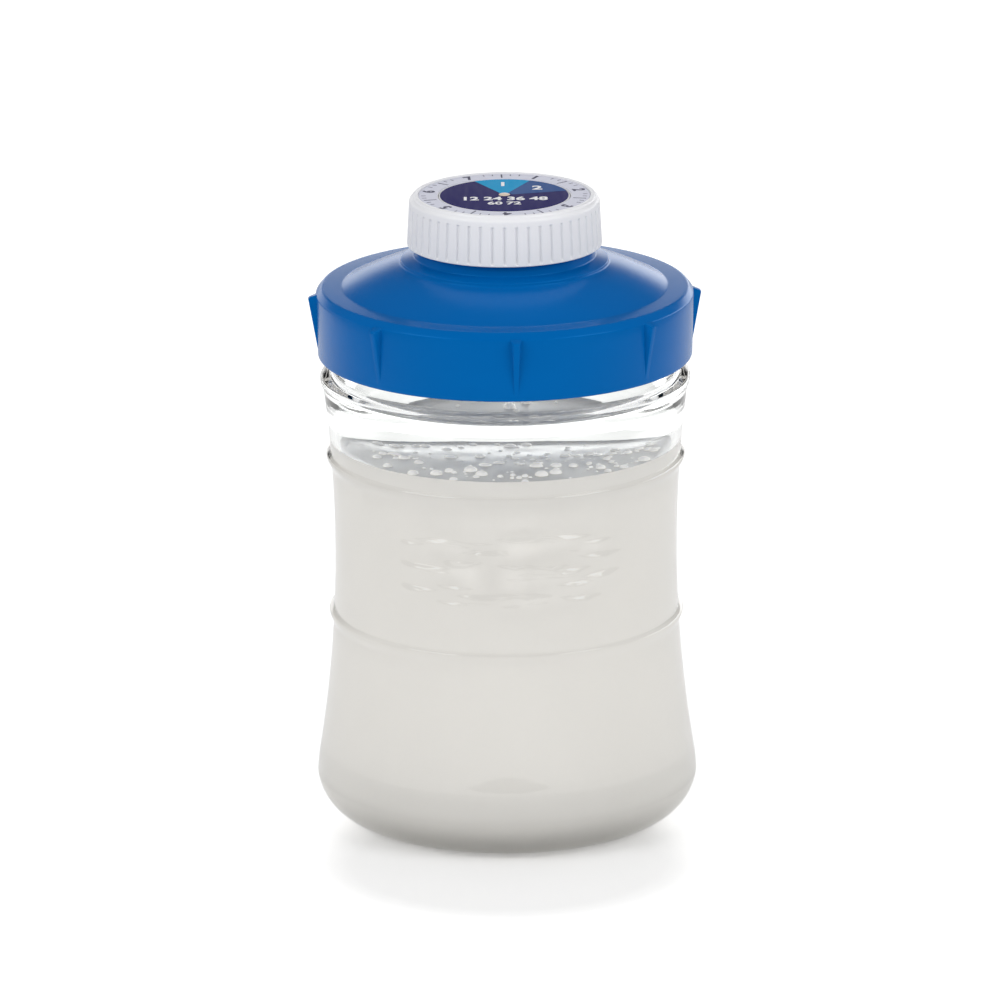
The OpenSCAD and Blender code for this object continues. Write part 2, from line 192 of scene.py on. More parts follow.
class DialSizes(PropertyGroup):
    disc_r: length("Disc", "Radius of the turning disc", 17.5)
    label: length("Label", "Thickness of a printed label", 0.2)
    rivet_r: length("Rivet", "Radius of the rivet's shank", 1.1)
    days: count("Days", "Days on the ring", 7)
    face_turn: turn("Face turn", "Turn of the printed face from the back", 2)
    ring_colour: colour("Ring", "Ground of the day ring", (0.62, 0.63, 0.73))
    print_colour: colour("Print", "Colour of the ring's marks", (0.05, 0.05, 0.1))
    ground_colour: colour("Ground", "Dark ground of the dial", (0.013, 0.01, 0.105))
    first_colour: colour("First sector", "Sector of the first batch", (0.0, 0.3, 0.58))
    second_colour: colour("Second sector", "Sector of the second batch", (0.03, 0.085, 0.26))
    white_colour: colour("White ink", "Ink of the dial's numbers", (0.8, 0.8, 0.82))
    rivet_colour: colour("Rivet colour", "Colour of the rivet", (0.72, 0.6, 0.5))


class StudioSettings(PropertyGroup):
    distance: FloatProperty(
        name="Distance",
        description="Distance from the jar's axis to the camera, along the floor",
        default=2.1318,
        unit="LENGTH",
    )
    height: FloatProperty(
        name="Camera height",
        description="Height of the camera above the table",
        default=0.7092,
        unit="LENGTH",
    )
    tilt: turn("Tilt", "How far the camera looks down", 16.28)
    roll: turn("Roll", "Roll of the camera about its view", -0.3)
    lens: FloatProperty(name="Lens", description="Focal length in millimetres", default=296.27)
    shift: FloatProperty(name="Shift", description="Sideways shift of the frame", default=-0.0059)
    sky: level("Sky", "Strength of the soft light from all round", 0.64)
    sky_in_glass: level("Sky in glass", "Strength of the light that comes through glass", 1.1)
    room: level("Room", "How bright the room looks in glossy surfaces", 0.06)
    key: level("Key", "Power of each of the two softboxes in watts", 5.6)


def point(radius, height, angle=0.0):
    return Vector((radius * math.cos(angle), radius * math.sin(angle), height))


def arc(centre_r, centre_z, radius_r, radius_z, start, end, steps):
    """Points of an ellipse's arc in an outline, with its angles in degrees."""
    return [
        (
            centre_r + radius_r * math.cos(math.radians(start + (end - start) * i / steps)),
            centre_z + radius_z * math.sin(math.radians(start + (end - start) * i / steps)),
        )
        for i in range(steps + 1)
    ]


def line(start, end, steps):
    """Evenly spaced points from start to end, without the end."""
    return [
        (
            start[0] + (end[0] - start[0]) * i / steps,
            start[1] + (end[1] - start[1]) * i / steps,
        )
        for i in range(steps)
    ]


def rounded(corners):
    """An outline through corners of (radius, height, reach), with each one rounded from
    its reach before it to its reach after it. The first and last are left out."""
    steps = 5
    points = []
    for before, corner, after in zip(corners, corners[1:], corners[2:]):
        tip = Vector(corner[:2])
        start = tip + corner[2] * (Vector(before[:2]) - tip).normalized()
        end = tip + corner[2] * (Vector(after[:2]) - tip).normalized()
        for i in range(steps + 1):
            share = i / steps
            place = start.lerp(tip, share).lerp(tip.lerp(end, share), share)
            points.append((place.x, place.y))
    return points


def smooth(share):
    share = min(1.0, max(0.0, share))
    return share * share * (3 - 2 * share)


def deselect():
    bpy.ops.object.select_all(action="DESELECT")


def make_active(piece):
    deselect()
    piece.select_set(True)
    bpy.context.view_layer.objects.active = piece


def edit():
    bpy.ops.object.mode_set(mode="EDIT")


def leave_edit():
    bpy.ops.object.mode_set(mode="OBJECT")


def named(name):
    piece = bpy.context.object
    piece.name = name
    piece.data.name = name
    return piece


def start_outline(name, place):
    """A lone vertex at a place, left selected in edit mode."""
    deselect()
    bpy.ops.mesh.primitive_plane_add(size=MM)
    piece = named(name)
    edit()
    bpy.ops.mesh.select_mode(type="VERT")
    bpy.ops.mesh.select_all(action="SELECT")
    bpy.ops.mesh.merge(type="CENTER")
    bpy.ops.transform.translate(value=place)
    return piece


def extend_outline(places):
    for before, after in zip(places, places[1:]):
        bpy.ops.mesh.extrude_region_move(TRANSFORM_OT_translate={"value": after - before})


def lathe(name, outline, steps, start=0.0, angle=30.0):
    """Spins an outline of (radius, height) points into a closed solid. steps is a number
    of segments, or a list of (share of the turn, segments) for uneven ones."""
    places = [point(r, z, start) for r, z in outline]
    piece = start_outline(name, places[0])
    extend_outline(places)
    bpy.ops.mesh.select_all(action="SELECT")
    stretches = steps if isinstance(steps, list) else [(1.0, steps)]
    for share, segments in stretches:
        bpy.ops.mesh.spin(
            steps=segments, angle=share * ROUND, center=(0, 0, 0), axis=(0, 0, 1)
        )
    bpy.ops.mesh.select_all(action="SELECT")
    bpy.ops.mesh.remove_doubles(threshold=WELD)
    bpy.ops.mesh.normals_make_consistent(inside=False)
    leave_edit()
    shade(piece, angle)
    return piece


def shade(piece, angle=30.0):
    make_active(piece)
    bpy.ops.object.shade_smooth_by_angle(angle=math.radians(angle))


def move_vertices(piece, moved):
    """Moves each vertex to where moved(place) says, or leaves it where that is None."""
    for vertex in piece.data.vertices:
        place = moved(vertex.co)
        if place is not None:
            vertex.co = place
    piece.data.update()


def put_out(place, amount):
    """A place moved away from the axis, or towards it where amount is negative."""
    radius = math.hypot(place.x, place.y)
    return Vector((place.x * (1 + amount / radius), place.y * (1 + amount / radius), place.z))


def turned_from(place, start):
    """Degrees from an angle round the axis to a place, from 0 to 360."""
    return (math.degrees(math.atan2(place.y, place.x)) - start) % 360


def lug_height(place, starts, sweep, lead, low_z, height):
    """How much of a screw ridge stands at a place, from 0 to 1. starts lists, for each
    ridge, the degrees at which it starts and how far the screw has climbed there."""
    fade = 7.0
    flank = 0.22 * height
    for start, climbed in starts:
        passed = turned_from(place, start)
        if passed > sweep:
            continue
        middle = low_z + lead * (climbed + passed) / 360
        across = (height / 2 - abs(place.z - middle)) / flank
        if across > 0:
            return smooth(across) * smooth(min(passed, sweep - passed) / fade)
    return 0.0


def join(name, pieces):
    deselect()
    for piece in pieces:
        piece.select_set(True)
    bpy.context.view_layer.objects.active = pieces[0]
    bpy.ops.object.join()
    return named(name)


def combine(piece, other, operation):
    """Adds or cuts another piece, and deletes it."""
    make_active(piece)
    modifier = piece.modifiers.new("combine", "BOOLEAN")
    modifier.operation = operation
    modifier.solver = "EXACT"
    modifier.object = other
    bpy.ops.object.modifier_apply(modifier=modifier.name)
    deselect()
    other.select_set(True)
    bpy.ops.object.delete()
    make_active(piece)


def bevelled(piece, width):
    make_active(piece)
    modifier = piece.modifiers.new("bevel", "BEVEL")
    modifier.width = width
    modifier.segments = 2
    modifier.limit_method = "ANGLE"
    modifier.angle_limit = math.radians(30)
    bpy.ops.object.modifier_apply(modifier=modifier.name)


def prism(name, corners, depth):
    """Extrudes a flat outline of places by a vector."""
    piece = start_outline(name, corners[0])
    extend_outline(corners)
    bpy.ops.mesh.select_all(action="SELECT")
    bpy.ops.mesh.edge_face_add()
    bpy.ops.mesh.extrude_region_move(TRANSFORM_OT_translate={"value": depth})
    bpy.ops.mesh.select_all(action="SELECT")
    bpy.ops.mesh.normals_make_consistent(inside=False)
    leave_edit()
    return piece


def copied_round(piece, name, copies, start):
    """Copies a piece round the axis and joins the copies."""
    pieces = [piece]
    make_active(piece)
    for _ in range(copies - 1):
        bpy.ops.object.duplicate()
        pieces.append(bpy.context.object)
    for number, one in enumerate(pieces):
        one.data.transform(Matrix.Rotation(start + number * ROUND / copies, 4, "Z"))
    return join(name, pieces)


def dress(piece, body, slot, material, *replaced):
    """Gives a finished piece its material and its place in the frame."""
    piece.data.materials.clear()
    piece.data.materials.append(material)
    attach(piece, body)
    if replaced:
        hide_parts(*replaced)


class Value:
    """A socket's number, which sums and products can use as if it were a number."""

    def __init__(self, nodes, socket):
        self.nodes = nodes
        self.socket = socket

    def _with(self, operation, first, second):
        node = self.nodes.node(
            "ShaderNodeMath", {"operation": operation}, {0: first, 1: second}
        )
        return Value(self.nodes, node.outputs[0])

    def __add__(self, other):
        return self._with("ADD", self, other)

    def __radd__(self, other):
        return self._with("ADD", other, self)

    def __rsub__(self, other):
        return self._with("SUBTRACT", other, self)

    def __mul__(self, other):
        return self._with("MULTIPLY", self, other)

    def __rmul__(self, other):
        return self._with("MULTIPLY", other, self)


class Nodes:
    """Adds nodes to a tree."""

    def __init__(self, tree):
        self.tree = tree

    def node(self, kind, settings=None, values=None):
        """A node of a type, with its settings, and the values or links of its sockets."""
        node = self.tree.nodes.new(kind)
        for key, setting in (settings or {}).items():
            setattr(node, key, setting)
        for key, value in (values or {}).items():
            self.feed(node.inputs[key], value)
        return node

    def feed(self, socket, value):
        if isinstance(value, Value):
            self.tree.links.new(value.socket, socket)
        elif isinstance(value, bpy.types.NodeSocket):
            self.tree.links.new(value, socket)
        else:
            socket.default_value = value

    def value(self, kind, output, settings=None, values=None):
        return Value(self, self.node(kind, settings, values).outputs[output])

    def between(self, value, low, high):
        """Rises smoothly from 0 to 1 as a value goes from low to high."""
        return self.value(
            "ShaderNodeMapRange",
            0,
            {"interpolation_type": "SMOOTHSTEP"},
            {"Value": value, "From Min": low, "From Max": high},
        )


class Paint(Nodes):
    """Builds one material's nodes."""

    def __init__(self, name):
        self.material = bpy.data.materials.new(name)
        self.material.use_nodes = True
        super().__init__(self.material.node_tree)
        self.shader = self.tree.nodes["Principled BSDF"]

    def place(self, scale=(1, 1, 1), moved=(0, 0, 0)):
        """The piece's own coordinates, stretched by a scale and then moved."""
        coordinates = self.node("ShaderNodeTexCoord").outputs["Object"]
        return self.node(
            "ShaderNodeMapping", {}, {"Vector": coordinates, "Scale": scale, "Location": moved}
        ).outputs["Vector"]

    def noise(self, scale, detail=2.0, stretch=(1, 1, 1), roughness=0.5):
        node = self.node(
            "ShaderNodeTexNoise",
            {},
            {
                "Vector": self.place(stretch),
                "Scale": scale,
                "Detail": detail,
                "Roughness": roughness,
            },
        )
        return Value(self, node.outputs[0])

    def mix(self, share, first, second):
        node = self.node(
            "ShaderNodeMix", {"data_type": "RGBA"}, {0: share, 6: first, 7: second}
        )
        return node.outputs[2]

    def bump(self, height, strength, distance):
        node = self.node(
            "ShaderNodeBump", {}, {"Strength": strength, "Distance": distance, "Height": height}
        )
        self.feed(self.shader.inputs["Normal"], node.outputs["Normal"])

    def finish(self, **sockets):
        for name, value in sockets.items():
            self.feed(self.shader.inputs[name.replace("_", " ")], value)
        return self.material


def tone(colour, factor=1.0):
    return (colour[0] * factor, colour[1] * factor, colour[2] * factor, 1.0)


def clear_glass(colour):
    """Pressed glass: clear, with the slow waviness of a mould."""
    paint = Paint("clear_glass")
    waves = paint.noise(42, 1.0, (1, 1, 0.45))
    seeds = paint.noise(260, 1.0)
    paint.bump(waves + seeds * 0.06, 0.22, 0.4 * MM)
    tint = paint.mix(paint.noise(20, 1.0), tone(colour), tone(colour, 0.99))
    return paint.finish(
        Base_Color=tint,
        Roughness=0.012 + 0.02 * paint.noise(90),
        IOR=1.5,
        Transmission_Weight=1.0,
    )


def whole_milk(colour):
    """Thick white milk, with faint clots and streaks where it has begun to set."""
    paint = Paint("whole_milk")
    clots = paint.noise(55, 5.0, (1, 1, 0.6), 0.6)
    body = paint.mix(clots, tone(colour, 0.985), tone(colour, 1.01))
    paint.bump(clots, 0.12, 0.3 * MM)
    return paint.finish(
        Base_Color=body,
        Roughness=0.16 + 0.1 * paint.noise(120),
        IOR=1.35,
    )


def foam_skin_painted_glow(colour):
    """The thin shiny skin of a bubble on milk, with a faint painted glow that makes the bubbles
    whiter than the light on them would.
    """
    paint = Paint("foam_skin_painted_glow")
    film = paint.noise(700, 2.0)
    return paint.finish(
        Base_Color=paint.mix(film, tone(colour, 0.98), tone(colour, 1.06)),
        Roughness=0.1 + 0.1 * film,
        IOR=1.33,
        Coat_Weight=0.6,
        # Painted glow: the foam gives off a faint light of its own, in the film's colour, which
        # stands in for light scattered in the bubbles.
        Emission_Color=paint.mix(film, tone(colour, 0.8), tone(colour)),
        Emission_Strength=0.3,
    )


def moulded_plastic(name, colour, roughness, sheen=(1, 1, 1)):
    """Satin moulded plastic: a fine spark-eroded grain, slow sink marks, faint flow lines
    in its colour, and a rubbed sheen here and there."""
    paint = Paint(name)
    flow = paint.noise(38, 3.0, (1, 1, 2.2))
    skin = paint.noise(1600, 2.0)
    sink = paint.noise(16, 1.0)
    rubbed = paint.noise(70, 4.0, (1, 1, 1), 0.62)
    paint.bump(skin * 0.22 + sink * 1.4, 0.35, 0.12 * MM)
    return paint.finish(
        Base_Color=paint.mix(flow, tone(colour, 0.95), tone(colour, 1.05)),
        Roughness=(roughness - 0.05) + 0.1 * rubbed,
        IOR=1.49,
        Specular_IOR_Level=0.32,
        Specular_Tint=tone(sheen),
    )


def silicone(name, colour):
    """Soft silicone with a dusty bloom."""
    paint = Paint(name)
    bloom = paint.noise(240, 4.0)
    paint.bump(paint.noise(2200, 1.0), 0.3, 0.05 * MM)
    return paint.finish(
        Base_Color=paint.mix(bloom, tone(colour, 0.93), tone(colour, 1.04)),
        Roughness=0.48 + 0.16 * bloom,
        IOR=1.41,
    )


def gloss_print(name, colour, roughness=0.2):
    """Ink under a clear gloss varnish, with faint rosette noise and fine scratches."""
    paint = Paint(name)
    ink = paint.noise(2600, 2.0)
    scratches = paint.noise(150, 3.0, (6, 0.6, 1))
    paint.bump(scratches * 0.5 + ink * 0.1, 0.1, 0.03 * MM)
    return paint.finish(
        Base_Color=paint.mix(ink, tone(colour, 0.93), tone(colour, 1.07)),
        Roughness=(roughness - 0.04) + 0.09 * scratches,
        IOR=1.5,
        Specular_IOR_Level=0.03,
    )


def wall_r(glass, z):
    """Outer radius of the plain wall at a height."""
    bow = math.sqrt(glass.bow_r**2 - (z - glass.waist_z) ** 2)
    return glass.waist_r + glass.bow_r - bow


def inner_r(glass, z):
    bow = math.sqrt((glass.bow_r + glass.wall) ** 2 - (z - glass.waist_z) ** 2)
    return glass.waist_r + glass.bow_r - bow


def wall(glass, low, high, pitch):
    steps = max(1, round((high - low) / pitch))
    heights = [low + (high - low) * i / steps for i in range(steps + 1)]
    return [(wall_r(glass, z), z) for z in heights]


def raised_ring(glass, top_z):
    """A ring that slopes out from below and turns in sharply at its upper edge."""
    points = []
    crest = 0.7 * MM
    lip = 0.9 * MM
    steps = 14
    for i in range(steps + 1):
        z = top_z - glass.ring_slope + (glass.ring_slope + lip - crest) * i / steps
        below = top_z - z
        if below > crest:
            share = (below - crest) / (glass.ring_slope - crest)
            out = glass.ring_out * (1 - smooth(share)) ** 1.3
        else:
            out = glass.ring_out * math.sqrt(max(0.0, 1 - ((crest - below) / lip) ** 2))
        points.append((wall_r(glass, z) + out, z))
    return points


def inside_outline(glass, top_z, grow, pitch):
    """The inside of the glass from the axis up to a height, grown into the glass."""
    round_h = glass.heel_h + 1 * MM
    round_w = glass.heel_w + 4 * MM
    start_z = glass.floor_z + round_h
    centre = inner_r(glass, start_z) - round_w
    steps = max(2, round((top_z - start_z) / pitch))
    heights = [start_z + (top_z - start_z) * i / steps for i in range(steps + 1)]
    floor = line((0, glass.floor_z - grow), (centre, glass.floor_z - grow), 8)
    heel = arc(centre, start_z, round_w + grow, round_h + grow, -90, -3, 16)
    return floor + heel + [(inner_r(glass, z) + grow, z) for z in heights]


def glass_outline(glass):
    """Half a section of the glass: the foot, the outer wall, the neck, and back inside."""
    foot_r = wall_r(glass, glass.heel_h) - glass.heel_w
    punt_r = foot_r - glass.foot_w
    punt = [(punt_r * i / 8, glass.punt_h * (1 - (i / 8) ** 3)) for i in range(8)]
    heel = arc(foot_r, glass.heel_h, glass.heel_w, glass.heel_h, -90, -6, 18)
    fine = 0.31 * MM
    coarse = 3 * MM
    reach = 11.4 * MM
    above = 1.2 * MM
    edge = 1 * MM
    fillet = 1.2 * MM
    slope = glass.ring_slope
    edge_r = wall_r(glass, glass.shoulder_z) + glass.shoulder_out
    neck_low = glass.shoulder_z + 1.6 * MM
    mouth_r = glass.neck_r - glass.wall
    lip = 0.9 * MM
    inside_z = glass.shoulder_z - 13 * MM
    inside = inside_outline(glass, inside_z, 0.0, 5 * MM)
    throat = [
        (
            mouth_r + (inner_r(glass, inside_z) - mouth_r) * smooth(i / 16),
            neck_low + (inside_z - neck_low) * i / 16,
        )
        for i in range(16)
    ]
    return (
        punt
        + [(punt_r, 0.15 * MM), (punt_r + 0.3 * MM, 0)]
        + heel
        + wall(glass, glass.heel_h + coarse, glass.low_ring_z - slope - edge, 5 * MM)
        + raised_ring(glass, glass.low_ring_z)
        + wall(glass, glass.low_ring_z + above, glass.bubbles_z - reach - 2 * MM, coarse)
        + wall(glass, glass.bubbles_z - reach, glass.bubbles_z + reach, fine)
        + wall(glass, glass.bubbles_z + reach + 1.5 * MM, glass.high_ring_z - slope, coarse)
        + raised_ring(glass, glass.high_ring_z)
        + wall(glass, glass.high_ring_z + above, glass.shoulder_z - coarse, coarse)
        + [(edge_r - 0.1 * MM, glass.shoulder_z - 1.6 * edge)]
        + arc(edge_r - edge, glass.shoulder_z - edge, edge, edge, 0, 80, 6)
        + [(glass.neck_r + fillet, glass.shoulder_z + 0.2 * MM)]
        + arc(glass.neck_r + fillet, neck_low, fillet, 1.3 * MM, -90, -180, 4)
        + line((glass.neck_r, neck_low + fine), (glass.neck_r, glass.rim_z - lip), 36)
        + arc(glass.neck_r - lip, glass.rim_z - lip, lip, lip, 0, 90, 6)
        + arc(mouth_r + lip, glass.rim_z - lip, lip, lip, 90, 180, 6)
        + line((mouth_r, glass.rim_z - 2 * lip), (mouth_r, neck_low + lip), 6)
        + throat
        + inside[::-1]
    )


# Bubbles raised on the front of the glass, in millimetres: along the wall, up, radius
BUBBLES = [
    (-25, -2.5, 3.6),
    (-17.5, 4, 4.6),
    (-13.5, -6.5, 2.2),
    (-4.5, -0.5, 6.6),
    (4, 8, 2),
    (8.5, -4.5, 4),
    (15.5, 4.5, 5.2),
    (20, -6, 2.6),
    (26, 0.5, 3.2),
]
BEADS = [(-27, 6.5), (-8.5, 8.5), (1.5, -9), (13.5, -9.5), (24.5, 7)]


def relief_height(glass, along, up):
    """How much of a bubble's outline stands at a place on the front, from 0 to 1."""
    best = 0.0
    for middle, raised, radius in BUBBLES:
        away = math.hypot(along - middle * MM, up - raised * MM)
        best = max(best, 1 - ((away - radius * MM) / glass.stroke) ** 2)
    for middle, raised in BEADS:
        away = math.hypot(along - middle * MM, up - raised * MM)
        best = max(best, 1 - (away / (1.25 * glass.stroke)) ** 2)
    return math.sqrt(best)


class JAR_OT_glass(Operator):
    """Spins the jar's section and raises the bubbles and the screw lugs on it"""

    bl_idname = "jar.glass"
    bl_label = "Glass jar"

    def execute(self, context):
        glass = context.scene.glass_sizes
        front = math.radians(37)
        share = 2 * front / ROUND
        piece = lathe(
            "glass_jar",
            glass_outline(glass),
            [(share, 236), (1 - share, 72)],
            start=-math.pi / 2 - front,
            angle=38,
        )
        starts = [(i * 360 / glass.lugs, 0.0) for i in range(glass.lugs)]
        reach = 14 * MM

        def moved(place):
            radius = math.hypot(place.x, place.y)
            up = place.z - glass.bubbles_z
            if abs(up) < reach and place.y < 0 and radius > wall_r(glass, place.z) - 0.1 * MM:
                along = glass.waist_r * math.atan2(place.x, -place.y)
                return put_out(place, glass.bubble_out * relief_height(glass, along, up))
            if place.z > glass.shoulder_z + 4 * MM and radius > glass.neck_r - 0.1 * MM:
                ridge = lug_height(
                    place, starts, GLASS_LUG_ARC, glass.lead, glass.lug_z, glass.lug_h
                )
                return put_out(place, glass.lug_out * ridge)
            return None

        move_vertices(piece, moved)
        shade(piece, 62)
        dress(piece, "jar", "jar_glass", clear_glass(glass.colour), "jar_glass")
        return {"FINISHED"}


# Rafts of bubbles on the milk, in millimetres: across, towards the back, spread
RAFTS = [(21, -24, 9), (32, -8, 6), (6, -37, 9), (-12, -30, 6), (-30, -12, 6), (4, -6, 16)]


class JAR_OT_milk(Operator):
    """Fills the glass with milk, and floats bubbles on it"""

    bl_idname = "jar.milk"
    bl_label = "Milk"

    def execute(self, context):
        glass = context.scene.glass_sizes
        milk = context.scene.milk_sizes
        side = inside_outline(glass, milk.level_z, milk.overlap, 3 * MM)
        edge_r = side[-1][0]
        climb = 2.2 * MM
        top = [
            (
                edge_r - climb * i / 8,
                milk.level_z + milk.meniscus * (1 - i / 8) ** 2.2,
            )
            for i in range(9)
        ]
        inward = line((edge_r - climb - 1 * MM, milk.level_z), (0, milk.level_z), 24)
        piece = lathe("milk_fill", side[:-1] + top + inward + [(0, milk.level_z)], 160)

        def rippled(place):
            radius = math.hypot(place.x, place.y)
            if place.z < milk.level_z - 0.01 * MM or radius > edge_r - climb:
                return None
            wave = math.sin(190 * place.x + 0.7) * math.cos(230 * place.y - 0.4)
            return Vector((place.x, place.y, place.z + 0.12 * MM * (wave - 1)))

        move_vertices(piece, rippled)
        dress(piece, "jar", "milk", whole_milk(milk.colour), "milk")
        foam = self.foam(milk, edge_r)
        dress(foam, "jar", "milk", foam_skin_painted_glow(milk.colour))
        return {"FINISHED"}

    def foam(self, milk, edge_r):
        """Half-sunk bubbles, most of them gathered in rafts."""
        draw = random.Random(7)
        in_rafts = 0.7
        largest = 1.9 * MM
        clear = 3.5 * MM
        flat = 0.72
        bubbles = []
        placed = []
        while len(placed) < milk.foam:
            radius = draw.uniform(0.4, 1.0) ** 2 * largest
            if draw.random() < in_rafts:
                raft = RAFTS[draw.randrange(len(RAFTS))]
                across = MM * draw.gauss(raft[0], raft[2])
                place = Vector((across, MM * draw.gauss(raft[1], raft[2] / 2), milk.level_z))
            else:
                away = edge_r * math.sqrt(draw.uniform(0.02, 1))
                place = point(away, milk.level_z, draw.uniform(0, ROUND))
            if math.hypot(place.x, place.y) > edge_r - clear:
                continue
            if any((place - other).length < radius + size for other, size in placed):
                continue
            placed.append((place, radius))
        for place, radius in placed:
            deselect()
            bpy.ops.mesh.primitive_uv_sphere_add(
                segments=16, ring_count=10, radius=radius, location=place
            )
            bubble = bpy.context.object
            bpy.ops.object.transform_apply(location=True, rotation=True, scale=True)
            for vertex in bubble.data.vertices:
                rise = vertex.co.z - milk.level_z
                vertex.co.z = milk.level_z - 0.15 * MM + flat * max(rise, -0.35 * radius)
            bubbles.append(bubble)
        foam = join("foam", bubbles)
        shade(foam, 60)
        return foam


def soft_ring(name, inner, outer, low_z, high_z, soft, corner_steps, steps):
    """A ring of rectangular section with rounded corners."""
    corners = (
        (inner + soft, low_z + soft, 180),
        (outer - soft, low_z + soft, 270),
        (outer - soft, high_z - soft, 0),
        (inner + soft, high_z - soft, 90),
    )
    outline = []
    for centre_r, centre_z, start in corners:
        outline += arc(centre_r, centre_z, soft, soft, start, start + 90, corner_steps)
    return lathe(name, outline + [outline[0]], steps)


class JAR_OT_gasket(Operator):
    """Lays the silicone ring between the glass rim and the lid"""

    bl_idname = "jar.gasket"
    bl_label = "Lid gasket"

    def execute(self, context):
        low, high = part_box("lid_gasket")
        lid = context.scene.lid_sizes
        inner = lid.plug_r + 0.25 * MM
        piece = soft_ring("lid_gasket_ring", inner, high.x, low.z, high.z, 0.4 * MM, 4, 160)
        material = silicone("white_silicone", lid.seal_colour)
        dress(piece, "gasket", "lid_gasket", material, "lid_gasket")
        return {"FINISHED"}


def collar_radius(lid):
    """Radius of the step where the dome meets the pouring neck's collar."""
    return lid.spout_r + 5.4 * MM


def dome_point(lid, share):
    """A point of the dome, from the band at 0 to the collar at 1."""
    band_r = lid.skirt_in + lid.skirt_wall + lid.draft - lid.edge - lid.band
    band_z = lid.roof_z + 0.4 * MM
    collar_r = collar_radius(lid)
    return (
        band_r + (collar_r - band_r) * share,
        band_z + (lid.collar_z - band_z) * share + 4 * lid.swell * share * (1 - share),
    )


def lid_outline(lid):
    """Half a section of the lid, up the skirt, over the dome and spout, and back inside."""
    out = lid.skirt_in + lid.skirt_wall
    top_r = out + lid.draft
    roof_r = top_r - lid.edge
    edge_z = lid.roof_z - lid.edge
    collar_r = collar_radius(lid)
    base_r = lid.spout_r + 1.7 * MM
    collar_z = lid.collar_z
    seat_r = lid.bore_r + 1.8 * MM
    soft = 0.5 * MM
    lip = 0.6 * MM
    under_z = lid.collar_z - 5.6 * MM
    inside_r = lid.plug_r - 2 * MM
    inside_z = lid.roof_z + 1.1 * MM - lid.roof_wall
    plug_z = lid.seat_z - 3.4 * MM
    return (
        [(lid.skirt_in, lid.skirt_z), (out - soft, lid.skirt_z)]
        + arc(out - soft, lid.skirt_z + soft, soft, soft, -70, 0, 4)
        + line((out, lid.skirt_z + 2 * soft), (top_r, edge_z - soft), 8)
        + rounded(
            [
                (top_r, edge_z - soft, 0),
                (top_r, edge_z + 0.1 * MM, 0.35 * MM),
                (roof_r, dome_point(lid, 0)[1], 0.5 * MM),
                (*dome_point(lid, 0), 0.35 * MM),
                (*dome_point(lid, 1 / 16), 0),
            ]
        )
        + [dome_point(lid, i / 16) for i in range(1, 16)]
        + rounded(
            [
                (*dome_point(lid, 0.9), 0),
                (collar_r + 0.1 * MM, collar_z, 0.5 * MM),
                (collar_r, collar_z + 1 * MM, 0.22 * MM),
                (base_r + 0.2 * MM, collar_z + 1.9 * MM, 0.4 * MM),
                (base_r, lid.spout_z, 0.4 * MM),
                (lid.spout_r, lid.spout_z, 0),
            ]
        )
        + line((lid.spout_r, lid.spout_z), (lid.spout_r, lid.mouth_z - lip), 30)
        + arc(lid.spout_r - lip, lid.mouth_z - lip, lip, lip, 0, 85, 4)
        + arc(lid.bore_r + lip, lid.mouth_z - lip, lip, lip, 95, 180, 4)
        + [(lid.bore_r, lid.collar_z), (seat_r, lid.collar_z)]
        + [(seat_r, lid.collar_z - 3 * MM), (seat_r + soft, lid.collar_z - 3.3 * MM)]
        + [(seat_r + soft, lid.collar_z - 4.2 * MM), (seat_r, lid.collar_z - 4.5 * MM)]
        + [(seat_r, under_z), (seat_r + 2 * MM, under_z)]
        + [(seat_r + 2 * MM, lid.collar_z - lid.roof_wall + 0.6 * MM)]
        + line((collar_r, lid.collar_z - lid.roof_wall), (inside_r, inside_z), 6)
        + [(inside_r, inside_z), (inside_r, plug_z), (lid.plug_r - 0.4 * MM, plug_z)]
        + [(lid.plug_r, plug_z + 0.4 * MM), (lid.plug_r, lid.seat_z)]
        + line((lid.skirt_in, lid.seat_z), (lid.skirt_in, lid.skirt_z), 42)
        + [(lid.skirt_in, lid.skirt_z)]
    )


